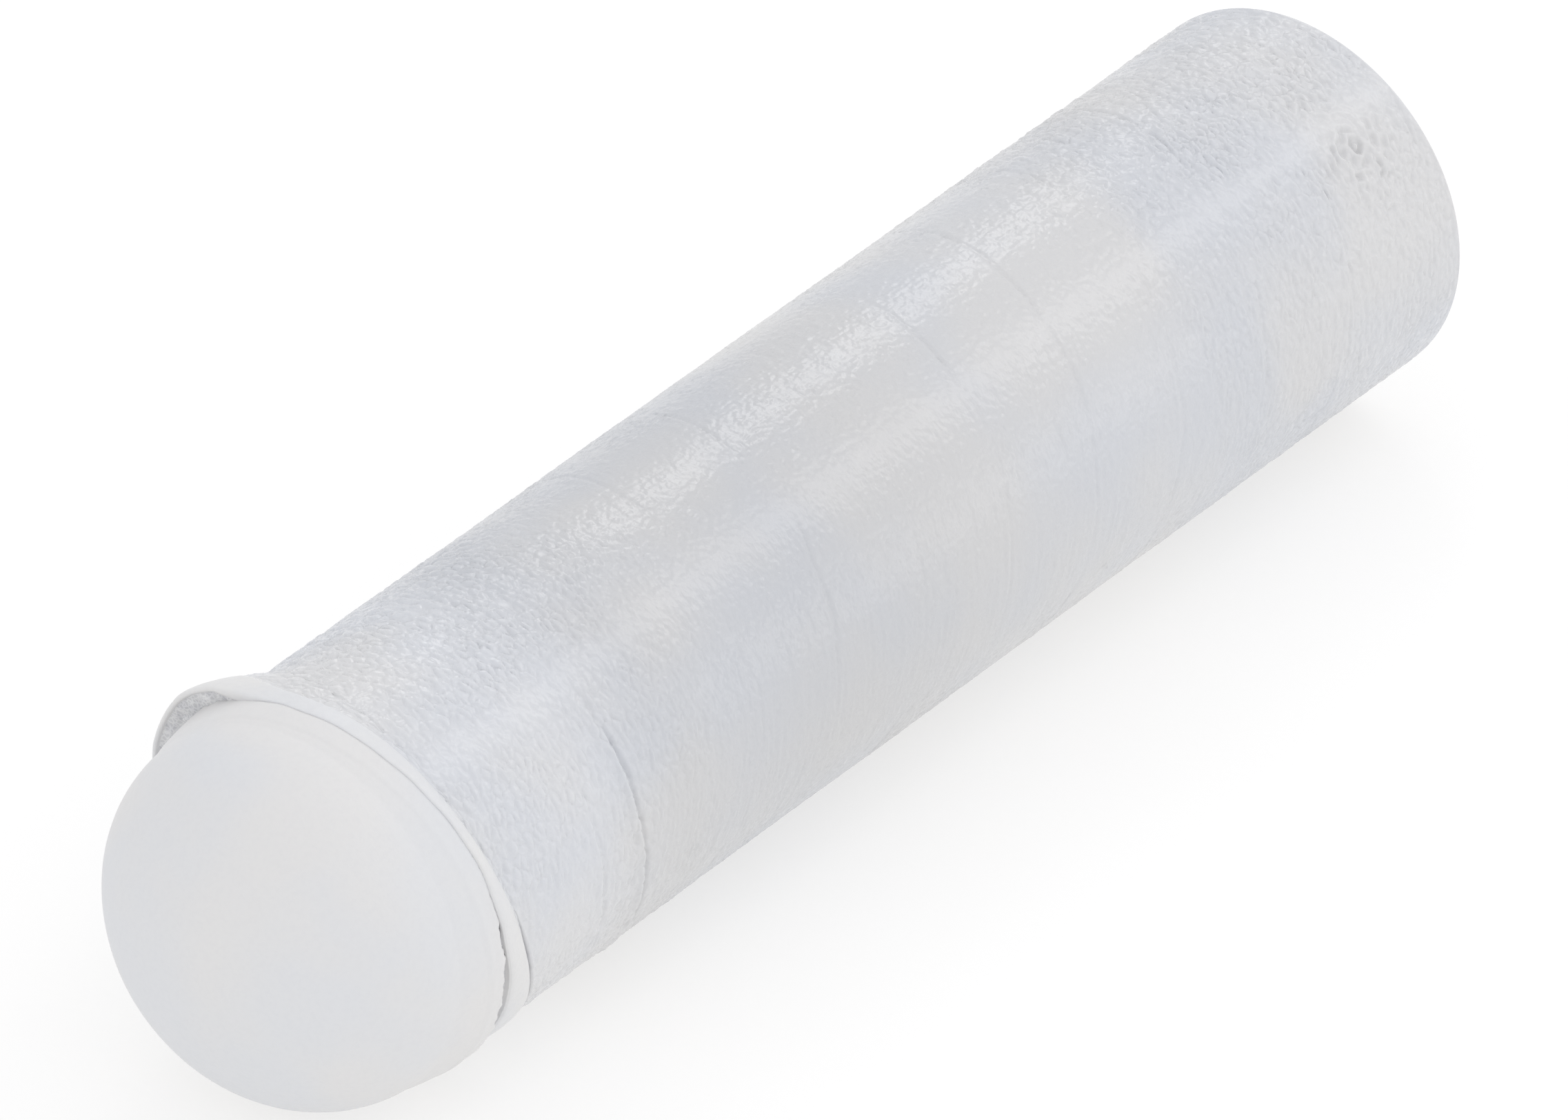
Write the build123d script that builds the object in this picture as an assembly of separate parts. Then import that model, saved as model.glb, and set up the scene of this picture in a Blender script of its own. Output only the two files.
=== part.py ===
from build123d import *
from math import cos, radians, sin
import os

# Foam roller lying on its side, in millimetres.
# +X runs along the roller's axis from the plain end to the domed end, and +Z is up.
# The origin is the centre of the plain end's flat face.
# Round the axis, a bearing is measured from straight up (0) towards +Y (90).

# Main sizes
ROLLER_DIAMETER = 150.0
STRAIGHT_LENGTH = 600.0
SKIN_WALL = 5.0
PLAIN_END_ROUND = 1.5

# Domed end cap: a dome, a narrower neck, a wider waist and a skirt that thins towards its edge
DOME_HEIGHT = 58.0
CAP_NECK_RADIUS = 74.6
CAP_WAIST_X = 575.0
CAP_WAIST_RADIUS = 77.9
CAP_SKIRT_X = 527.0
CAP_SKIRT_RADIUS = 70.6
CAP_SOCKET_END_X = 588.0

# Oblique edges near the domed end. Each is a plane that crosses the axis at centre_x
# and runs forward by rise, one roller radius out, on the side of its bearing.
SKIN_END = dict(centre_x=545.0, rise=32.0, bearing=35.0)
COLLAR_STEP = dict(centre_x=556.5, rise=22.0, bearing=22.0)
COLLAR_RIM = dict(centre_x=573.5, rise=13.0, bearing=5.0)
CAP_SKIRT_EDGE = dict(centre_x=566.0, rise=14.0, bearing=55.0)

# Collar rings. Each is wider than the roller and shifted up and away from +Y by the same amount,
# so that the collar flares on that side and lies close on the opposite one.
COLLAR_STEP_RADIUS = 78.6
COLLAR_STEP_SHIFT = 2.2
COLLAR_STEP_WALL = 2.8
COLLAR_RIM_RADIUS = 81.4
COLLAR_RIM_SHIFT = 3.9
COLLAR_RIM_WALL = 2.4

RADIUS = ROLLER_DIAMETER / 2
CORE_RADIUS = RADIUS - SKIN_WALL
CLEAR_OF_END = 40.0


def oblique_plane(centre_x, rise, bearing, shift=0.0):
    """The plane of an oblique edge, facing the domed end, centred on an axis shifted to -Y and +Z."""
    slope = rise / RADIUS
    towards_y = sin(radians(bearing))
    towards_z = cos(radians(bearing))
    x_at_centre = centre_x + slope * shift * (towards_z - towards_y)
    return Plane(
        origin=(x_at_centre, -shift, shift),
        x_dir=(slope, towards_y, towards_z),
        z_dir=(1, -slope * towards_y, -slope * towards_z),
    )


def ring_face(edge, radius, shift=0.0):
    """The face that a cylinder along X shows where an oblique plane cuts it."""
    steepest_radius = radius * (1 + (edge["rise"] / RADIUS) ** 2) ** 0.5
    return oblique_plane(**edge, shift=shift) * Ellipse(steepest_radius, radius)


def behind(edge):
    """A block that fills everything on the plain end's side of an oblique edge."""
    size = 4 * STRAIGHT_LENGTH
    return oblique_plane(**edge) * Pos(0, 0, -size / 2) * Box(size, size, size)


def rod(radius, start_x, end_x):
    """A plain cylinder along X."""
    along_x = Plane(origin=(start_x, 0, 0), z_dir=(1, 0, 0))
    return along_x * Cylinder(radius, end_x - start_x, align=(Align.CENTER, Align.CENTER, Align.MIN))


def make_foam_core():
    """The solid rod, from the plain end into the cap's socket."""
    return rod(CORE_RADIUS, 0, CAP_SOCKET_END_X)


def make_outer_skin():
    """The sleeve: flush with the core at the plain end, cut obliquely at the domed end."""
    sleeve = rod(RADIUS, 0, STRAIGHT_LENGTH) - rod(CORE_RADIUS, -CLEAR_OF_END, STRAIGHT_LENGTH + CLEAR_OF_END)
    sleeve = sleeve & behind(SKIN_END)
    plain_end_rims = sleeve.edges().filter_by(GeomType.CIRCLE).filter_by_position(Axis.X, 0, 0)
    return fillet(plain_end_rims.sort_by(SortBy.RADIUS)[-1], PLAIN_END_ROUND)


def collar_form(wall_at_skin, wall_at_step, wall_at_rim):
    """The collar's outer form, drawn in by a wall at each of its three rings."""
    at_skin = ring_face(SKIN_END, RADIUS - wall_at_skin)
    at_step = ring_face(COLLAR_STEP, COLLAR_STEP_RADIUS - wall_at_step, COLLAR_STEP_SHIFT)
    at_rim = ring_face(COLLAR_RIM, COLLAR_RIM_RADIUS - wall_at_rim, COLLAR_RIM_SHIFT)
    return loft([at_skin, at_step, at_rim])


def make_mouth_collar():
    """The ring on the sleeve's end: it steps out from the core and thins to a lip round the cap."""
    return collar_form(0, 0, 0) - collar_form(SKIN_WALL, COLLAR_STEP_WALL, COLLAR_RIM_WALL)


def make_end_cap():
    """The domed cap: a half-ellipsoid on a barrel-shaped skirt, with a socket for the core.
    Where its skirt goes under the collar, the collar presses it in."""
    apex = (STRAIGHT_LENGTH + DOME_HEIGHT, 0)
    neck = (STRAIGHT_LENGTH, CAP_NECK_RADIUS)
    waist = (CAP_WAIST_X, CAP_WAIST_RADIUS)
    skirt = (CAP_SKIRT_X, CAP_SKIRT_RADIUS)
    skirt_centre = (CAP_SKIRT_X, 0)
    outline = [
        EllipticalCenterArc((STRAIGHT_LENGTH, 0), DOME_HEIGHT, CAP_NECK_RADIUS, arc_size=90),
        TangentArc(waist, neck, tangent=(1, 0)),
        TangentArc(waist, skirt, tangent=(-1, 0)),
        Polyline(skirt, skirt_centre, apex),
    ]
    cap = revolve(make_face(Curve() + outline), Axis.X)
    cap = cap - rod(CORE_RADIUS, CAP_SKIRT_X - CLEAR_OF_END, CAP_SOCKET_END_X)
    cap = cap - behind(CAP_SKIRT_EDGE) - make_mouth_collar()
    return cap.solids().sort_by(SortBy.VOLUME)[-1]


def main():
    nodes = {
        "foam_core": make_foam_core(),
        "outer_skin": make_outer_skin(),
        "mouth_collar": make_mouth_collar(),
        "end_cap": make_end_cap(),
    }
    os.makedirs("parts", exist_ok=True)
    for name, shape in nodes.items():
        export_step(shape, f"parts/{name}.step")


main()
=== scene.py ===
from math import cos, radians, sin

import bpy
import numpy as np
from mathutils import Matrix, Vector, noise
from mathutils.bvhtree import BVHTree


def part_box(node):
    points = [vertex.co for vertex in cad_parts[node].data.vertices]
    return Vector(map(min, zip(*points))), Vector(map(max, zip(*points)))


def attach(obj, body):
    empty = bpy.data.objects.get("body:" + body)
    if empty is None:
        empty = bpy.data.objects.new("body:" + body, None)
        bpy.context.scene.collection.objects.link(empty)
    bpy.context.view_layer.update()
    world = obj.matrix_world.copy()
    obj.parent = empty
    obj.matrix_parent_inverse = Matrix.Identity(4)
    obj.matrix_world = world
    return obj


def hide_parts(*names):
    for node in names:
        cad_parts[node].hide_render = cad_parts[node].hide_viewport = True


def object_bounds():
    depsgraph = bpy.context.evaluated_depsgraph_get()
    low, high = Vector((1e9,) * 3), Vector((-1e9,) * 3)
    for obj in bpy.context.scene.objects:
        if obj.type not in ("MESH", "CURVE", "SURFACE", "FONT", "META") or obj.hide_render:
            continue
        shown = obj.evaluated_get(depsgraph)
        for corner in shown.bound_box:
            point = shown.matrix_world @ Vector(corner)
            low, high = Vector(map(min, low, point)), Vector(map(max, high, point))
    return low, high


# Foam roller lying on its side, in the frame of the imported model: +X runs from the plain end to the
# domed end and +Z is up. Shapes are worked out in millimetres, and meshes are made in metres.
# Round the axis, a bearing is measured from straight up (0) towards +Y (90), in degrees.
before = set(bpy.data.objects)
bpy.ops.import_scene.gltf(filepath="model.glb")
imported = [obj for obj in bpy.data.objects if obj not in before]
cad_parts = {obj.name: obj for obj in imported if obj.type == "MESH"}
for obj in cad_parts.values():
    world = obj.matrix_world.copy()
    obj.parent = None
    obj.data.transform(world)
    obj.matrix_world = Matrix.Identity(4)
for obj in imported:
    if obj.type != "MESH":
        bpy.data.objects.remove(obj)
cad_low, cad_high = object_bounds()
MM = 0.001

# Mesh spacing, in millimetres: finer near both ends of the sleeve. SHARP_EDGE is in degrees.
COLUMNS = 720
FINE_STEP = 0.6
PLAIN_STEP = 1.0
FINE_BEFORE = 150.0
FINE_AFTER = 425.0
FIT_GAP = 0.05
SHARP_EDGE = 75.0

# Outer skin: where its marks lie along the axis
PLAIN_END_ROUND = 1.5
SKIN_EDGE_ROUND = 1.4
CREASE_PITCH = 51.7
CREASE_START = 43.8
CREASES_FADE_OUT = (460, 500)
PEBBLES_GET_FINER = (90, 200)
PEBBLES_GET_BOLDER = (400, 490)
LOW_WRINKLES_GROW = (380, 520)
RING_CREASE_BACK = 172.0
RING_CREASE_LEAN = 6.0
WHORL_X = 33.0
WHORL_BEARING = 42.0

# Outer skin: heights, depths and widths of its marks
SLOW_WAVES = 0.22
SHORT_WAVES = 0.1
CREASE_DEPTH = 0.65
CREASE_WIDTH = 0.75
CREASE_LIP = 0.08
STREAK_HEIGHT = 0.34
BOLD_PEBBLES_MIDWAY = 0.13
BOLD_PEBBLES_NEAR_ENDS = 0.88
FINE_PEBBLES_MIDWAY = 0.36
FINE_PEBBLES_NEAR_ENDS = 0.20
RING_CREASE_DEPTH = 1.3
RING_RIDGE_HEIGHT = 0.8
WHORL_DENT = 1.2
WHORL_WRINKLES = 1.10
WHORL_WRINKLE_PITCH = 4.2
WHORL_LUMPS = 1.15
LOW_WRINKLES = 0.3

# Ring creases: how far behind the main one, the first and last bearing, and the strength
RING_CREASES = [
    (0, 45, 170, 1.0),
    (0, -60, 40, 0.3),
    (-24, 62, 135, 0.45),
]

# Places round the axis: a centre bearing and a width, in degrees
CREASES_CLEAREST = (22, 30)
STREAKS_CLEAREST = (100, 55)
PEBBLES_BOLDEST = (10, 68)
FLAT_STRIP = (33.5, 5)
LOW_WRINKLES_NEAR_COLLAR = (130, 16)
LOW_WRINKLES_ELSEWHERE = (132, 12)
LIP_FURTHEST = (82, 18)
PEBBLED_FURTHEST = (-25, 34)
BEAD_FULLEST = (105, 50)
SLIT_WIDEST = (115, 24)
HEM_CLEAREST = (-20, 60)

# Collar: its lip lies on the cap, except between two bearings, where it stands off
COLLAR_OVERLAP = 1.0
LIP_WALL = 2.2
LIP_WALL_LYING = 0.45
LIP_REACH = 2.2
LIP_EDGE = 0.6
LIP_PRESSED_IN = 0.5
LIP_STANDS_OFF = -90.0
LIP_STAND_OFF_REACH = 38.0
LIP_COMES_DOWN_OVER = 40.0
GAP_CLOSES = -28.0
GAP_DEPTH = 2.2
TORN_LUMPS = 2.4
TORN_GRAIN = 1.1
SLIT_DEPTH = 1.3
SLIT_LONGEST = 4.0
SLIT_WIDER_BY = 1.5
GROOVE_BEARING = 118.0
GROOVE_REACH = 50.0
GROOVE_WIDTH = 1.4
BEAD_THIN = 0.30
BEAD_FULL = 1.60
PEBBLED_PAST_SKIN = 1.5
PEBBLED_REACH = 11.5

# Cap
RAGGED_LUMPS = 1.3
RAGGED_TEETH = 1.0
HEM_BEHIND_APEX = 69.0
HEM_LEAN = 8.0
HEM_BEARING = -20.0
HEM_STEP = 0.20
HEM_RIDGE = 0.30
CAP_WAVES = 0.30
FRAY_DEPTH = 1.2

# Foam core: its cut cells and its rough side near the domed end
CELL_DEPTH = 0.45
SAW_MARKS = 0.12
ROUGH_FROM = 0.85

# Material places on the collar
RIM_FINISH = 0
PEBBLED_FINISH = 1
TORN_FINISH = 2

# Studio light. A softbox has a bearing on the sleeve where it is mirrored, a size and a colour.
FLOOR_SIZE = 12.0
FLOOR_GLOW = 0.55
BRIGHT_SIDE = (0.25, 0.60, 0.75)
BRIGHT_LEVEL = 1.12
DIM_LEVEL = 0.75
BRIGHT_COLOUR = (0.985, 0.99, 1.005, 1.0)
DIM_COLOUR = (0.98, 0.99, 1.01, 1.0)
SOFTBOX_DISTANCE = 3.0
SOFTBOX_RADIANCE = 2.1
SOFTBOXES = {
    "strip_light": (33, (0.45, 1.8), (1.0, 0.97, 0.945)),
    "high_light": (4, (0.45, 1.4), (1.0, 0.99, 0.98)),
    "side_light": (61, (0.30, 1.4), (1.0, 0.985, 0.97)),
}

# Camera, aimed at a point on the axis
VIEW_AZIMUTH = 127.3
VIEW_ELEVATION = 33.2
CAMERA_DISTANCE = 10.83
CAMERA_LENS = 686.5
SENSOR_WIDTH = 36.0
AIM_SHARE = 0.4754


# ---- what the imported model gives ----


def box_mm(node):
    """The node's lowest and highest corners, in millimetres."""
    low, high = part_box(node)
    return np.array(low) / MM, np.array(high) / MM


def surface_tree(node):
    """The node's surface, in millimetres, for finding where a line meets it."""
    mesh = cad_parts[node].data
    corners = [vertex.co / MM for vertex in mesh.vertices]
    faces = [tuple(polygon.vertices) for polygon in mesh.polygons]
    return BVHTree.FromPolygons(corners, faces)


core_high = box_mm("foam_core")[1]
skin_high = box_mm("outer_skin")[1]
cap_high = box_mm("end_cap")[1]
collar_low, collar_high = box_mm("mouth_collar")
RADIUS = skin_high[2]
CORE_RADIUS = core_high[2]
SOCKET_END = core_high[0]
APEX = cap_high[0]
CAP_RADIUS = cap_high[1]
RIM_RADIUS = (collar_high[2] - collar_low[2]) / 2
RIM_SHIFT = (collar_high[2] + collar_low[2]) / 2
BEARINGS = np.linspace(0, 2 * np.pi, COLUMNS, endpoint=False)


def at_bearing(x, radius, bearing):
    """Points at a distance from the axis, as an array that ends in x, y, z."""
    x, radius, bearing = np.broadcast_arrays(x, radius, bearing)
    return np.stack([x, radius * np.sin(bearing), radius * np.cos(bearing)], axis=-1)


def meet_along_axis(tree, radius, start_x, direction):
    """For each bearing, the x where a line parallel to the axis first meets a surface."""
    starts = at_bearing(start_x, radius, BEARINGS)
    hits = [tree.ray_cast(Vector(start), Vector((direction, 0, 0)))[0] for start in starts]
    return np.array([hit.x for hit in hits])


def cap_outline(tree, bearing):
    """The cap's outer outline, from the end of its skirt to the apex, as (x, radius) points."""
    centre = Vector((SOCKET_END, 0, 0))
    outline = []
    for angle in np.radians(np.arange(113.5, -0.5, -0.5)):
        out = Vector((cos(angle), sin(angle) * sin(bearing), sin(angle) * cos(bearing)))
        hit = tree.ray_cast(centre + out * APEX, -out)[0]
        outline.append((hit.x, np.hypot(hit.y, hit.z)))
    return np.array(outline)


# ---- shape helpers ----


def ease(low, high, value):
    """0 below low and 1 above high, with a smooth step between."""
    share = np.clip((value - low) / (high - low), 0, 1)
    return share * share * (3 - 2 * share)


def hill(value, width):
    """1 where a value is 0, fading to almost 0 two widths away."""
    return np.exp(-((value / width) ** 2))


def mix(first, second, share):
    """The first value at a share of 0, and the second at 1."""
    return first + share * (second - first)


def turn_from(bearing, centre):
    """How far a bearing in radians is past a centre bearing in degrees, from -180 to 180 degrees."""
    return (np.degrees(bearing) - centre + 180) % 360 - 180


def near(bearing, centre, width):
    """1 at a centre bearing, fading to almost 0 two widths away."""
    return hill(turn_from(bearing, centre), width)


def smooth_noise(points, size, seed):
    """Smooth noise between about -1 and 1, whose lumps are about size across."""
    flat = (points.reshape(-1, 3) / size + 17.31 * seed).tolist()
    return np.array([noise.noise(point) for point in flat]).reshape(points.shape[:-1])


def cell_middles(points, size, seed):
    """0 on the borders between random cells, and near 1 in the middle of each."""
    flat = (points.reshape(-1, 3) / size + 17.31 * seed).tolist()
    nearest = np.array([noise.voronoi(point)[0][:2] for point in flat])
    return (nearest[:, 1] - nearest[:, 0]).reshape(points.shape[:-1])


def stretched(points, round_the_axis):
    """The same points with distances round the axis scaled, so that lumps on them come out longer."""
    return points * np.array([1.0, round_the_axis, round_the_axis])


def ring_mesh(name, rows, start=None, end=None):
    """A mesh of closed rings, given in order from the outer side of the plain end to the inner side.
    It closes on a start and an end point on the axis, or else joins its last ring to its first."""
    rows = np.asarray(rows)
    count, columns = rows.shape[:2]
    index = np.arange(count * columns).reshape(count, columns)
    if start is None:
        index = np.vstack([index, index[:1]])
    after = np.roll(index, -1, axis=1)
    quads = np.stack([index[:-1], index[1:], after[1:], after[:-1]], axis=-1).reshape(-1, 4)
    faces = quads.tolist()
    corners = rows.reshape(-1, 3)
    if start is not None:
        corners = np.vstack([corners, start, end])
        faces += [(count * columns, a, b) for a, b in zip(index[0], after[0])]
        faces += [(a, count * columns + 1, b) for a, b in zip(index[-1], after[-1])]
    mesh = bpy.data.meshes.new(name)
    mesh.from_pydata((corners * MM).tolist(), [], faces)
    mesh.shade_smooth()
    mesh.set_sharp_from_angle(angle=radians(SHARP_EDGE))
    mesh.update()
    piece = bpy.data.objects.new(name, mesh)
    bpy.context.scene.collection.objects.link(piece)
    return piece


# ---- outer skin ----


def creases(x, bearing, points):
    """Two narrow grooves that wind round the sleeve half a turn apart, uneven in line and depth."""
    wander = 1.3 * smooth_noise(points, size=24, seed=1) + 0.5 * smooth_noise(points, size=6, seed=2)
    turn = (x - CREASE_START + wander) / CREASE_PITCH - np.degrees(bearing) / 180
    across = (turn - np.round(turn)) * CREASE_PITCH
    strength = 0.25 + 0.75 * ease(-0.25, 0.35, smooth_noise(points, size=45, seed=3))
    strength *= 0.55 + 0.45 * near(bearing, *CREASES_CLEAREST)
    groove = -CREASE_DEPTH * hill(across, CREASE_WIDTH)
    lip = CREASE_LIP * hill(across - 2.0, 1.2)
    return (groove + lip) * strength * (1 - ease(*CREASES_FADE_OUT, x))


def striations(x, bearing):
    """Fine streaks that lie along the creases, clearest on the lower front."""
    lead = 2 * CREASE_PITCH
    winding = bearing - 2 * np.pi * x / lead
    round_lead = lead / (2 * np.pi)
    along = np.stack([round_lead * np.cos(winding), round_lead * np.sin(winding), 0.4 * x], axis=-1)
    streaks = 0.6 * smooth_noise(along, size=1.5, seed=4) + 0.4 * smooth_noise(along, size=3.4, seed=5)
    return STREAK_HEIGHT * (0.2 + 0.8 * near(bearing, *STREAKS_CLEAREST)) * streaks


def rounded_lumps(points, size, seed):
    """Rounded lumps with narrow valleys between them, from 0 to about 1."""
    return 2 * np.abs(smooth_noise(points, size, seed))


def pebbles(x, bearing, points):
    """Rounded pebbles, a little longer round the sleeve: bold near both ends and finer between."""
    drawn = stretched(points, 0.6)
    sway = 1.2 * smooth_noise(points, size=6, seed=10)
    middles = cell_middles(drawn + sway[..., None], size=3.3, seed=6)
    valleys = np.clip(1 - middles / 0.55, 0, 1) ** 2
    bold = 0.35 - valleys + 0.8 * smooth_noise(drawn, size=3.4, seed=7)
    fine = rounded_lumps(stretched(points, 0.65), size=1.7, seed=8) - 0.5
    near_ends = np.maximum(ease(*PEBBLES_GET_BOLDER, x), 1 - ease(*PEBBLES_GET_FINER, x))
    bold *= mix(BOLD_PEBBLES_MIDWAY, BOLD_PEBBLES_NEAR_ENDS, near_ends)
    fine *= mix(FINE_PEBBLES_MIDWAY, FINE_PEBBLES_NEAR_ENDS, near_ends)
    patchy = np.clip(0.9 + 0.6 * smooth_noise(points, size=30, seed=9), 0.4, 1.2)
    upper = 0.40 + 0.60 * near(bearing, *PEBBLES_BOLDEST)
    return patchy * upper * (bold + fine)


def ring_crease(x, bearing, points, offset, first, last, strength):
    """A groove straight round the sleeve between two bearings, with a raised ridge towards the dome."""
    line = APEX - RING_CREASE_BACK + RING_CREASE_LEAN * (1 + np.cos(bearing)) - offset
    wander = 1.0 * smooth_noise(points, size=14, seed=10) + 0.4 * smooth_noise(points, size=4, seed=11)
    across = x - line + wander
    turn = turn_from(bearing, (first + last) / 2)
    reach = (last - first) / 2
    present = 1 - ease(reach - 18, reach + 10, np.abs(turn))
    groove = -RING_CREASE_DEPTH * hill(across, 1.0)
    ridge = RING_RIDGE_HEIGHT * hill(across - 2.7, 1.4)
    return strength * present * (groove + ridge)


def whorl(x, bearing, points):
    """A dent with uneven rings of wrinkles round it, near the plain end."""
    round_axis = RADIUS * np.radians(turn_from(bearing, WHORL_BEARING))
    distance = np.hypot(x - WHORL_X, 0.8 * round_axis)
    distance += 3.2 * smooth_noise(points, size=9, seed=12)
    distance += 1.2 * smooth_noise(points, size=3.5, seed=16)
    patchy = 0.6 + 0.9 * smooth_noise(points, size=8, seed=17)
    rings = np.cos(distance * 2 * np.pi / WHORL_WRINKLE_PITCH)
    wrinkles = WHORL_WRINKLES * patchy * rings * hill(distance, 16)
    lumps = WHORL_LUMPS * smooth_noise(points, size=3.2, seed=13) * hill(distance, 26)
    return wrinkles + lumps - WHORL_DENT * hill(distance, 6.5)


def underside_wrinkles(x, bearing, points):
    """Short wrinkles that run along the sleeve, low on the front near the collar."""
    along = points * np.array([0.3, 1.0, 1.0])
    near_collar = near(bearing, *LOW_WRINKLES_NEAR_COLLAR) * ease(*LOW_WRINKLES_GROW, x)
    elsewhere = 0.4 * near(bearing, *LOW_WRINKLES_ELSEWHERE)
    return LOW_WRINKLES * smooth_noise(along, size=2.6, seed=14) * (near_collar + elsewhere)


def skin_relief(x, bearing):
    """How far the skin's surface stands above or below its plain cylinder."""
    points = at_bearing(x, RADIUS, bearing)
    relief = SLOW_WAVES * smooth_noise(points, size=70, seed=15)
    relief += SHORT_WAVES * smooth_noise(points, size=24, seed=16)
    relief += creases(x, bearing, points)
    relief += striations(x, bearing)
    relief += pebbles(x, bearing, points)
    for offset, first, last, strength in RING_CREASES:
        relief += ring_crease(x, bearing, points, offset, first, last, strength)
    relief += whorl(x, bearing, points)
    relief += underside_wrinkles(x, bearing, points)
    strip_bearing, strip_width = FLAT_STRIP
    from_strip = turn_from(bearing, strip_bearing) + 2 * smooth_noise(points, size=30, seed=18)
    return relief * (1 - 0.7 * hill(from_strip, strip_width))


def groove_share():
    """How marked the groove between the skin and the collar is at each bearing: 1 low on the front."""
    turn = turn_from(BEARINGS, GROOVE_BEARING)
    return 1 - ease(GROOVE_REACH - 30, GROOVE_REACH, np.abs(turn))


def corner(centre_x, radius, size, from_angle, to_angle, steps):
    """Rings that round off a corner: angle 0 points along +X and 90 points outwards."""
    rows = []
    for angle in np.radians(np.linspace(from_angle, to_angle, steps)):
        rows.append(at_bearing(centre_x + size * cos(angle), radius + size * sin(angle), BEARINGS))
    return rows


def skin_rows():
    """Where the sleeve's outer rings lie, as shares of its length: close together near both ends."""
    length = skin_high[0]
    fine_start = np.arange(0, FINE_BEFORE, FINE_STEP)
    middle = np.arange(FINE_BEFORE, FINE_AFTER, PLAIN_STEP)
    fine_end = np.arange(FINE_AFTER, length - 0.2, FINE_STEP)
    return np.concatenate([fine_start, middle, fine_end, [length - 0.1, length]]) / length


def make_outer_skin(skin_end):
    """The sleeve: relief on its outside, a plain wall inside, and rounded edges at both ends."""
    inner = CORE_RADIUS + FIT_GAP
    share = skin_rows()[:, None]
    start_x = PLAIN_END_ROUND
    end_size = 0.04 + (SKIN_EDGE_ROUND - 0.04) * groove_share()
    x = start_x + share * (skin_end - end_size - start_x)[None, :]
    relief = skin_relief(x, BEARINGS[None, :])
    relief *= ease(-1, 2.5, x - start_x)
    relief *= 1 - groove_share() * (1 - ease(0, 3, skin_end[None, :] - x))
    outside = at_bearing(x, RADIUS + relief, BEARINGS[None, :])
    face = [at_bearing(0.0, radius, BEARINGS) for radius in np.linspace(inner, RADIUS - 2, 4)]
    start_round = corner(start_x, RADIUS - start_x, start_x, 175, 95, 6)
    end_radius = RADIUS - end_size + relief[-1]
    end_round = corner(skin_end - end_size, end_radius, end_size, 80, 5, 5)
    end_face = [at_bearing(skin_end, radius, BEARINGS) for radius in np.linspace(RADIUS - 1.9, inner, 4)]
    inside = [at_bearing(skin_end * (1 - s), inner, BEARINGS) for s in np.linspace(0.02, 0.98, 40)]
    rows = face + start_round + list(outside) + end_round + end_face + inside
    return ring_mesh("roller_skin", rows)


# ---- foam core ----


def make_foam_core():
    """The rod: open cut cells on its end face and a rough, grainy side near the domed end."""
    face_radii = np.linspace(0.6, CORE_RADIUS - 0.4, 100)[:, None]
    face = at_bearing(0.0, face_radii, BEARINGS[None, :])
    large = np.clip(cell_middles(face, size=3.4, seed=20), 0, 0.7)
    small = np.clip(cell_middles(face, size=1.9, seed=21), 0, 0.6)
    saw = SAW_MARKS * smooth_noise(face * np.array([1, 0.12, 1.0]), size=4, seed=22)
    face[..., 0] = 0.35 + CELL_DEPTH * (large + 0.35 * small) + saw
    rough_x = SOCKET_END * ROUGH_FROM
    side_x = np.concatenate([np.arange(1.0, rough_x, 8), np.arange(rough_x, SOCKET_END - 1, 1.2)])
    side = at_bearing(side_x[:, None], CORE_RADIUS, BEARINGS[None, :])
    rough = ease(0.84, 0.88, side_x / SOCKET_END)[:, None]
    grain = rough * (0.6 + 0.5 * smooth_noise(side, size=3.0, seed=23))
    side = at_bearing(side_x[:, None], CORE_RADIUS - grain, BEARINGS[None, :])
    far_x = SOCKET_END - FIT_GAP
    far_face = [at_bearing(far_x, radius, BEARINGS) for radius in np.linspace(CORE_RADIUS - 1, 2, 8)]
    return ring_mesh("roller_core", list(face) + list(side) + far_face, (0.5, 0, 0), (far_x, 0, 0))


# ---- collar ----


def rim_circle():
    """The CAD rim's distance from the axis: a circle shifted up and away from +Y."""
    towards = RIM_SHIFT * (np.cos(BEARINGS) - np.sin(BEARINGS))
    return towards + np.sqrt(towards**2 - 2 * RIM_SHIFT**2 + RIM_RADIUS**2)


def stands_off():
    """1 where the lip stands off the cap, and 0 where it lies on the cap."""
    from_middle = np.abs(turn_from(BEARINGS, LIP_STANDS_OFF))
    return 1 - ease(LIP_STAND_OFF_REACH, LIP_STAND_OFF_REACH + LIP_COMES_DOWN_OVER, from_middle)


def filled_gap():
    """1 where the lip's wall fills down to the cap, and 0 where the gap behind it is open."""
    return ease(GAP_CLOSES - 14, GAP_CLOSES + 6, turn_from(BEARINGS, 0))


def lip_line(rim_x, outline):
    """The lip's edge: its x, its outer radius and its wall at each bearing."""
    off = stands_off()
    lip_x = rim_x + LIP_REACH * near(BEARINGS, *LIP_FURTHEST)
    lip_x = lip_x + 0.8 * smooth_noise(at_bearing(rim_x, RIM_RADIUS, BEARINGS), size=16, seed=30)
    on_cap = np.interp(lip_x, outline[:, 0], outline[:, 1]) + LIP_WALL_LYING - 0.1
    lying = np.minimum(rim_circle(), on_cap)
    lip_r = mix(lying, rim_circle(), off)
    filled = filled_gap() * (lip_r - on_cap + LIP_WALL_LYING)
    wall = np.maximum(mix(LIP_WALL_LYING, LIP_WALL, off), filled)
    return lip_x, lip_r, wall


def pebbled_until(skin_end):
    """Where the pebbled finish stops on the collar: further along on the upper side."""
    return skin_end + PEBBLED_PAST_SKIN + PEBBLED_REACH * near(BEARINGS, *PEBBLED_FURTHEST)


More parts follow.
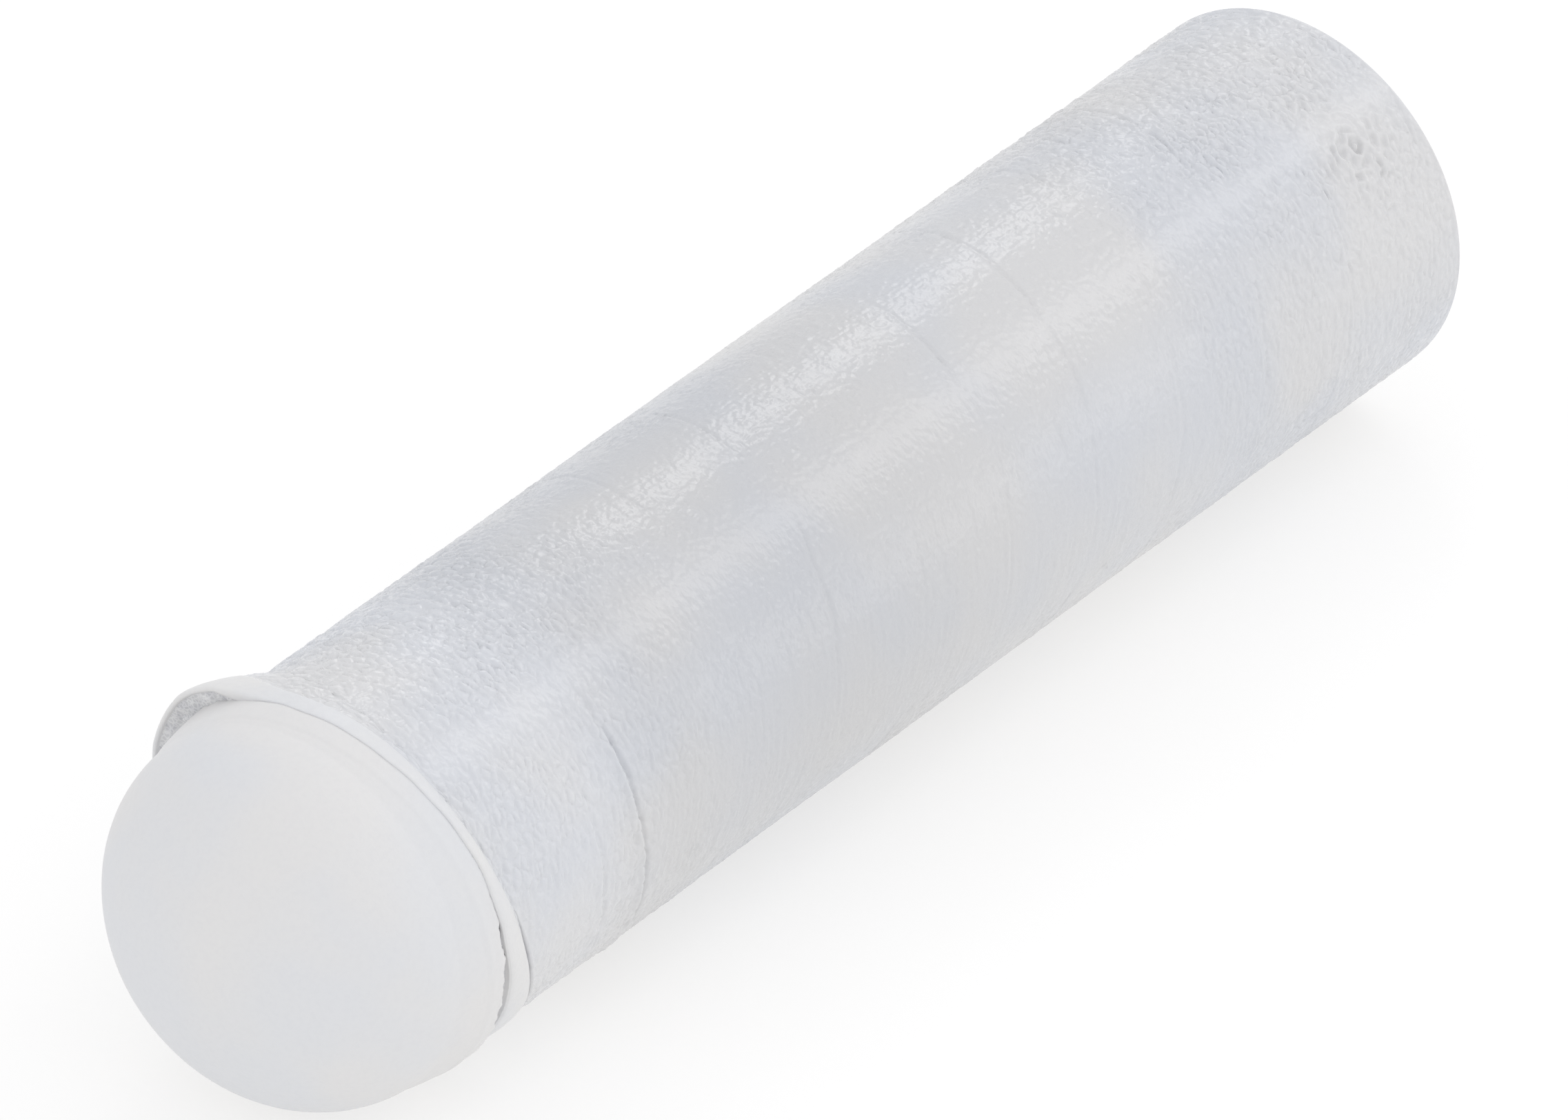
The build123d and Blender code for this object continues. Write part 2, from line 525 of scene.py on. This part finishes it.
def collar_outside(skin_end, lip_x, lip_r):
    """The collar's outer rings: a groove low on the front, then a rounded band that rises to the lip."""
    groove = groove_share()
    start_x = skin_end - COLLAR_OVERLAP * (1 - groove) + GROOVE_WIDTH * groove
    edge_x = lip_x - LIP_EDGE
    bead = mix(BEAD_THIN, BEAD_FULL, near(BEARINGS, *BEAD_FULLEST))
    border = np.minimum(pebbled_until(skin_end), lip_x - 3)
    rings = []
    for share in np.linspace(0, 1, 56):
        x = start_x + share * (edge_x - start_x)
        rise = (lip_r - RADIUS) * (1 - (1 - share) ** 1.4)
        across = np.clip((x - border) / (edge_x - border), 0, 1)
        band = bead * np.sqrt(np.maximum(1 - (2 * across - 1) ** 2, 0)) - 0.3 * groove
        points = at_bearing(x, RADIUS, BEARINGS)
        pebbled = 1 - ease(-1.5, 0.5, x - border)
        relief = 0.05 + pebbled * skin_relief(x, BEARINGS) * (1 - groove)
        waves = 0.12 * smooth_noise(points, size=9, seed=31)
        waves += 0.07 * smooth_noise(points, size=3, seed=32)
        relief += ease(0, 2, x - skin_end) * waves
        rings.append((x, RADIUS + rise + band + relief))
    return rings


def torn_inside(inner_x, inner_r, edge_x):
    """The collar's torn inner side: it goes back and down from the lip, or forward where a slit shows."""
    slit = edge_x - inner_x - 0.1
    open_slit = slit > 0.05
    reach = np.where(open_slit, slit, -GAP_DEPTH)
    drop = np.where(open_slit, 5.0, 1.2)
    start_r = inner_r - SLIT_DEPTH * ease(0.05, 2.0, slit)
    rings = []
    for share in np.linspace(0.02, 1, 30):
        x = inner_x + reach * share**0.75
        radius = start_r + (CORE_RADIUS + FIT_GAP - start_r) * share**drop
        points = at_bearing(x, radius, BEARINGS)
        torn = TORN_LUMPS * smooth_noise(points, size=5.0, seed=33)
        torn += TORN_GRAIN * smooth_noise(points, size=2.4, seed=34)
        fade = ease(0.05, 0.3, share) * (1 - ease(0.8, 1, share))
        rings.append((x + 0.6 * torn * fade, radius + 0.8 * torn * fade))
    return rings


def make_collar(skin_end, lip, edge_x):
    """The ring round the cap: a rounded band, with a thin lip that stands off on the far upper side."""
    lip_x, lip_r, wall = lip
    groove = groove_share()
    back_x = skin_end + 0.02
    back = [
        (back_x, CORE_RADIUS + FIT_GAP),
        (back_x, RADIUS - 2.6),
        (back_x + 0.9 * groove, RADIUS - 0.1 - 1.7 * groove),
    ]
    outside = collar_outside(skin_end, lip_x, lip_r)
    edge, edge_r = outside[-1]
    closed = np.maximum(1 - stands_off(), filled_gap())
    foot = lip_r - wall - LIP_PRESSED_IN * closed
    half = (edge_r - foot) / 2
    reach = np.minimum(wall / 2, LIP_WALL / 2)
    edge_turn = []
    for angle in np.radians([30, 60, 90, 120, 150, 180]):
        forward = sin(angle) if angle < 1.6 else sin(angle) + closed * (1 - sin(angle))
        edge_turn.append((edge + reach * forward, foot + half + half * cos(angle)))
    inside = torn_inside(*edge_turn[-1], edge_x)
    rows = [at_bearing(x, radius, BEARINGS) for x, radius in back + outside + edge_turn + inside]
    collar = ring_mesh("roller_collar", rows)
    finish = np.full((len(rows), COLUMNS), RIM_FINISH)
    x_of_rows = np.array([row[:, 0] for row in rows])
    finish[x_of_rows < pebbled_until(skin_end)] = PEBBLED_FINISH
    finish[len(rows) - len(inside) :] = TORN_FINISH
    collar.data.polygons.foreach_set("material_index", finish.ravel())
    return collar


# ---- end cap ----


def skirt_line(skirt_edge, lip_x):
    """The ragged edge of the cap's skirt, which the lip hides except in the slit low on the front."""
    ring = at_bearing(skirt_edge, CAP_RADIUS, BEARINGS)
    ragged = RAGGED_LUMPS * smooth_noise(ring, size=6, seed=40)
    ragged += RAGGED_TEETH * smooth_noise(ring, size=2.4, seed=41)
    wider_slit = SLIT_WIDER_BY * near(BEARINGS, *SLIT_WIDEST)
    return np.maximum(skirt_edge + ragged + wider_slit, lip_x - SLIT_LONGEST)


def cap_relief(x, radius, edge_x):
    """What stands above or below the cap's plain outline: its hem, faint waves and a frayed edge."""
    points = at_bearing(x, radius, BEARINGS)
    upper = near(BEARINGS, *HEM_CLEAREST)
    hem = APEX - HEM_BEHIND_APEX + HEM_LEAN * np.cos(BEARINGS - radians(HEM_BEARING))
    from_hem = x - hem + 0.5 * smooth_noise(points, size=12, seed=42)
    band = HEM_STEP * (1 - ease(-1.5, 1.5, from_hem))
    line = -HEM_STEP * upper * hill(from_hem, 0.9)
    ridge = HEM_RIDGE * (1 - upper) * hill(from_hem + 1.2, 1.6)
    waves = CAP_WAVES * smooth_noise(points, size=42, seed=43)
    waves += 0.10 * smooth_noise(points, size=15, seed=44)
    near_edge = 1 - ease(1, 8, x - edge_x)
    frayed = 0.35 * smooth_noise(points, size=2.8, seed=45) * near_edge
    frayed -= FRAY_DEPTH * (1 - ease(0, 1.3, x - edge_x))
    return band + line + ridge + waves * ease(0, 20, radius) + frayed


def make_end_cap(outline, lip, edge_x):
    """The domed cap: a hem line and faint waves on the dome, and a ragged edge to its skirt."""
    lip_x, lip_r, wall = lip
    inner = CORE_RADIUS + FIT_GAP
    floor = [at_bearing(SOCKET_END, radius, BEARINGS) for radius in np.linspace(2, inner, 8)]
    wall_x = [SOCKET_END + s * (edge_x + 0.3 - SOCKET_END) for s in (0.03, 0.35, 0.7, 1.0)]
    socket = [at_bearing(x, inner, BEARINGS) for x in wall_x]
    steps = np.arange(len(outline))
    start = np.interp(edge_x, outline[:, 0], steps)
    rows = []
    for share in np.linspace(0, 1, 220):
        place = start + share * (len(outline) - 1.6 - start)
        x = np.interp(place, steps, outline[:, 0])
        plain = np.interp(place, steps, outline[:, 1])
        radius = plain + cap_relief(x, plain, edge_x)
        pressed = lip_r - wall + 0.5 * np.maximum(x - lip_x, 0)
        rows.append(at_bearing(x, np.clip(radius, 0.2, np.maximum(pressed, 0.2)), BEARINGS))
    return ring_mesh("roller_cap", floor + socket + rows, (SOCKET_END, 0, 0), (APEX, 0, 0))


# ---- materials ----


class Shader:
    """A small helper that adds and links nodes in one material."""

    def __init__(self, name):
        self.material = bpy.data.materials.new(name)
        self.material.use_nodes = True
        self.tree = self.material.node_tree
        self.surface = self.tree.nodes["Principled BSDF"]
        self.place = self.node("ShaderNodeTexCoord").outputs["Object"]

    def node(self, kind, **settings):
        made = self.tree.nodes.new(kind)
        for key, value in settings.items():
            setattr(made, key, value)
        return made

    def link(self, output, entry):
        self.tree.links.new(output, entry)

    def stretch(self, scale):
        """Coordinates scaled along each axis: a scale below 1 draws a pattern out."""
        mapping = self.node("ShaderNodeMapping")
        mapping.inputs["Scale"].default_value = scale
        self.link(self.place, mapping.inputs["Vector"])
        return mapping.outputs["Vector"]

    def noise(self, size, detail=2.0, rough=0.5, place=None):
        """Smooth noise with lumps of a size in millimetres."""
        made = self.node("ShaderNodeTexNoise")
        made.inputs["Scale"].default_value = 1 / (size * MM)
        made.inputs["Detail"].default_value = detail
        made.inputs["Roughness"].default_value = rough
        self.link(place or self.place, made.inputs["Vector"])
        return made.outputs["Fac"]

    def cells(self, size, feature="F1"):
        """Distances in a pattern of cells of a size in millimetres."""
        made = self.node("ShaderNodeTexVoronoi", feature=feature)
        made.inputs["Scale"].default_value = 1 / (size * MM)
        self.link(self.place, made.inputs["Vector"])
        return made.outputs["Distance"]

    def ramp(self, value, stops):
        """A colour that runs through (position, colour) stops."""
        made = self.node("ShaderNodeValToRGB")
        made.color_ramp.interpolation = "EASE"
        points = made.color_ramp.elements
        while len(points) < len(stops):
            points.new(0.5)
        for point, (position, colour) in zip(points, stops):
            point.position = position
            point.color = (*colour, 1)
        self.link(value, made.inputs["Fac"])
        return made.outputs["Color"]

    def multiply(self, first, second):
        """The product of two colours."""
        made = self.node("ShaderNodeMix", data_type="RGBA", blend_type="MULTIPLY")
        made.inputs[0].default_value = 1.0
        self.link(first, made.inputs[6])
        self.link(second, made.inputs[7])
        return made.outputs[2]

    def part_of_place(self, axis):
        """One coordinate of the point on the surface."""
        split = self.node("ShaderNodeSeparateXYZ")
        self.link(self.place, split.inputs[0])
        return split.outputs[axis]

    def limits(self, value, low, high, from_low=0.0, from_high=1.0):
        """A value carried from one range to another."""
        made = self.node("ShaderNodeMapRange")
        made.inputs["From Min"].default_value = from_low
        made.inputs["From Max"].default_value = from_high
        made.inputs["To Min"].default_value = low
        made.inputs["To Max"].default_value = high
        self.link(value, made.inputs["Value"])
        return made.outputs["Result"]

    def bump(self, height, depth, before=None):
        """A fine relief, depth millimetres from its lowest to its highest."""
        made = self.node("ShaderNodeBump")
        made.inputs["Strength"].default_value = 1.0
        made.inputs["Distance"].default_value = depth * MM
        self.link(height, made.inputs["Height"])
        if before is not None:
            self.link(before, made.inputs["Normal"])
        return made.outputs["Normal"]

    def finish(self, colour, roughness, normal, gloss, soft):
        """Links the colour, roughness and relief, and sets the gloss and how far light goes in."""
        surface = self.surface.inputs
        self.link(colour, surface["Base Color"])
        self.link(roughness, surface["Roughness"])
        self.link(normal, surface["Normal"])
        surface["Specular IOR Level"].default_value = gloss
        surface["Subsurface Weight"].default_value = soft
        surface["Subsurface Radius"].default_value = (1.0, 0.95, 0.9)
        surface["Subsurface Scale"].default_value = 0.003
        return self.material


def skin_material():
    """Satin pebbled foam skin: cool white with faint patches, and a little darker midway along, which is
    painted shade.
    """
    shader = Shader("pebbled_foam_skin")
    tint = shader.ramp(shader.noise(90), [(0.35, (0.630, 0.643, 0.674)), (0.65, (0.668, 0.664, 0.665))])
    grain = shader.ramp(shader.noise(1.2, 1), [(0.1, (0.975, 0.978, 0.985)), (0.9, (1.0, 1.0, 1.0))])
    colour = shader.multiply(tint, grain)
    # Painted shade: the colour is darkened midway along the sleeve and lightened towards both ends,
    # standing for less light reaching the middle.
    along = shader.limits(shader.part_of_place("X"), 0.0, 1.0, 0.0, APEX * MM)
    midway_shade_levels = [(0.0, 0.965), (0.25, 0.925), (0.57, 0.855), (0.70, 0.885), (0.80, 1.0)]
    painted_midway_shade = shader.ramp(along, [(position, (level, level, level)) for position, level in midway_shade_levels])
    colour = shader.multiply(colour, painted_midway_shade)
    drawn = shader.stretch((1.0, 0.65, 0.65))
    normal = shader.bump(shader.noise(2.0, 1, 0.45, drawn), 0.24)
    normal = shader.bump(shader.cells(0.8), 0.02, normal)
    roughness = shader.limits(shader.noise(14, 3), 0.18, 0.29)
    return shader.finish(colour, roughness, normal, 0.5, 0.12)


def cap_material():
    """Smooth matte foam skin with a very fine cell grain."""
    shader = Shader("smooth_foam_cap")
    tint = shader.ramp(shader.noise(70), [(0.35, (0.690, 0.697, 0.714)), (0.65, (0.716, 0.708, 0.703))])
    grain = shader.ramp(shader.noise(2.2, 3), [(0.3, (0.985, 0.985, 0.988)), (0.6, (1.0, 1.0, 1.0))])
    colour = shader.multiply(tint, grain)
    normal = shader.bump(shader.noise(5.0, 3), 0.10)
    normal = shader.bump(shader.cells(1.3), 0.03, normal)
    roughness = shader.limits(shader.noise(9, 3), 0.45, 0.62)
    return shader.finish(colour, roughness, normal, 0.4, 0.12)


def rim_material():
    """Smooth satin foam skin of the collar."""
    shader = Shader("smooth_foam_rim")
    tint = shader.ramp(shader.noise(60), [(0.35, (0.690, 0.695, 0.708)), (0.65, (0.716, 0.710, 0.704))])
    grain = shader.ramp(shader.noise(2.5, 3), [(0.3, (0.98, 0.98, 0.985)), (0.6, (1.0, 1.0, 1.0))])
    colour = shader.multiply(tint, grain)
    normal = shader.bump(shader.noise(3.0, 3), 0.10)
    normal = shader.bump(shader.cells(1.2), 0.03, normal)
    roughness = shader.limits(shader.noise(9, 3), 0.36, 0.52)
    return shader.finish(colour, roughness, normal, 0.45, 0.12)


def cut_material():
    """Matte cut foam: thin pale cell walls round darker cell middles, painted shade in the open cells,
    and a tone a little darker than the rim's, in part painted shade of the gap behind the lip.
    """
    shader = Shader("cut_foam_cells")
    walls = shader.cells(1.9, "DISTANCE_TO_EDGE")
    # Painted shade: the cell middles are darker than the walls, and the whole tone is lowered a little
    # for the shaded gap.
    cells = shader.ramp(walls, [(0.0, (0.76, 0.76, 0.765)), (0.25, (0.62, 0.623, 0.635))])
    patches = shader.ramp(shader.noise(5, 2), [(0.35, (0.87, 0.87, 0.885)), (0.65, (1.0, 1.0, 0.995))])
    colour = shader.multiply(cells, patches)
    normal = shader.bump(shader.noise(1.0, 3), 0.12)
    normal = shader.bump(shader.cells(1.2), 0.10, normal)
    roughness = shader.limits(shader.noise(6, 3), 0.70, 0.90)
    return shader.finish(colour, roughness, normal, 0.3, 0.10)


def floor_material():
    """Plain white studio paper with a barely visible grain."""
    shader = Shader("studio_paper")
    colour = shader.ramp(shader.noise(300, 2), [(0.3, (0.44, 0.44, 0.44)), (0.7, (0.45, 0.45, 0.45))])
    normal = shader.bump(shader.noise(2.0, 2), 0.01)
    roughness = shader.limits(shader.noise(40, 2), 0.85, 0.95)
    shader.surface.inputs["Emission Color"].default_value = (1.0, 0.995, 0.985, 1.0)
    shader.surface.inputs["Emission Strength"].default_value = FLOOR_GLOW
    return shader.finish(colour, roughness, normal, 0.1, 0.0)


def dress(piece, materials, node):
    """Gives a piece its finish and puts it in the CAD node's place."""
    for material in materials:
        piece.data.materials.append(material)
    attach(piece, "root")
    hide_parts(node)


# ---- studio ----


def make_floor():
    bpy.ops.mesh.primitive_plane_add(size=FLOOR_SIZE, location=(0, 0, cad_low.z))
    floor = bpy.context.object
    floor.name = "studio_floor"
    floor.data.materials.append(floor_material())


def make_world():
    """Even white surroundings, a little brighter and cooler on the front side than behind."""
    world = bpy.data.worlds.new("studio_world")
    world.use_nodes = True
    tree = world.node_tree
    place = tree.nodes.new("ShaderNodeTexCoord")
    facing = tree.nodes.new("ShaderNodeVectorMath")
    facing.operation = "DOT_PRODUCT"
    facing.inputs[1].default_value = Vector(BRIGHT_SIDE).normalized()
    share = tree.nodes.new("ShaderNodeMapRange")
    share.inputs["From Min"].default_value = -1.0
    level = tree.nodes.new("ShaderNodeMapRange")
    level.inputs["To Min"].default_value = DIM_LEVEL
    level.inputs["To Max"].default_value = BRIGHT_LEVEL
    colour = tree.nodes.new("ShaderNodeMix")
    colour.data_type = "RGBA"
    colour.inputs[6].default_value = DIM_COLOUR
    colour.inputs[7].default_value = BRIGHT_COLOUR
    tree.links.new(place.outputs["Generated"], facing.inputs[0])
    tree.links.new(facing.outputs["Value"], share.inputs["Value"])
    tree.links.new(share.outputs["Result"], level.inputs["Value"])
    tree.links.new(share.outputs["Result"], colour.inputs[0])
    background = tree.nodes["Background"]
    tree.links.new(colour.outputs[2], background.inputs["Color"])
    tree.links.new(level.outputs["Result"], background.inputs["Strength"])
    bpy.context.scene.world = world


def point_at(item, place, target):
    item.location = place
    item.rotation_mode = "QUATERNION"
    item.rotation_quaternion = (Vector(target) - Vector(place)).to_track_quat("-Z", "Y")


def make_softbox(name, bearing, size, colour, target):
    """A long soft light, placed so that the camera sees its reflection in the sleeve at a bearing."""
    towards = view_direction()
    facing = Vector((0, sin(radians(bearing)), cos(radians(bearing))))
    direction = 2 * facing.dot(towards) * facing - towards
    light = bpy.data.lights.new(name, "AREA")
    light.shape = "RECTANGLE"
    light.size, light.size_y = size
    light.energy = SOFTBOX_RADIANCE * np.pi * size[0] * size[1]
    light.color = colour
    lamp = bpy.data.objects.new(name, light)
    bpy.context.scene.collection.objects.link(lamp)
    point_at(lamp, target + direction * SOFTBOX_DISTANCE, target)


def view_direction():
    """The direction from the roller to the camera."""
    level = cos(radians(VIEW_ELEVATION))
    azimuth = radians(VIEW_AZIMUTH)
    return Vector((sin(azimuth) * level, -cos(azimuth) * level, sin(radians(VIEW_ELEVATION))))


def make_camera(target):
    camera_data = bpy.data.cameras.new("photo_camera")
    camera_data.sensor_width = SENSOR_WIDTH
    camera_data.lens = CAMERA_LENS
    camera = bpy.data.objects.new("photo_camera", camera_data)
    bpy.context.scene.collection.objects.link(camera)
    point_at(camera, target + view_direction() * CAMERA_DISTANCE, target)
    bpy.context.scene.camera = camera


def main():
    skin_tree = surface_tree("outer_skin")
    collar_tree = surface_tree("mouth_collar")
    cap_tree = surface_tree("end_cap")
    skin_end = meet_along_axis(skin_tree, RADIUS - 0.4, APEX, -1)
    rim_x = meet_along_axis(collar_tree, rim_circle() - 0.8, APEX, -1)
    skirt_edge = meet_along_axis(cap_tree, (CORE_RADIUS + CAP_RADIUS) / 2, 0, 1)
    outline = cap_outline(cap_tree, radians(235))
    lip = lip_line(rim_x, outline)
    edge_x = skirt_line(skirt_edge, lip[0])
    skin = make_outer_skin(skin_end)
    core = make_foam_core()
    collar = make_collar(skin_end, lip, edge_x)
    cap = make_end_cap(outline, lip, edge_x)
    pebbled = skin_material()
    cut = cut_material()
    dress(skin, [pebbled], "outer_skin")
    dress(core, [cut], "foam_core")
    dress(collar, [rim_material(), pebbled, cut], "mouth_collar")
    dress(cap, [cap_material()], "end_cap")
    make_floor()
    make_world()
    middle = Vector((APEX * MM * AIM_SHARE, 0, 0))
    for name, (bearing, size, colour) in SOFTBOXES.items():
        make_softbox(name, bearing, size, colour, middle)
    make_camera(middle)
    bpy.context.scene.view_settings.view_transform = "Standard"


main()
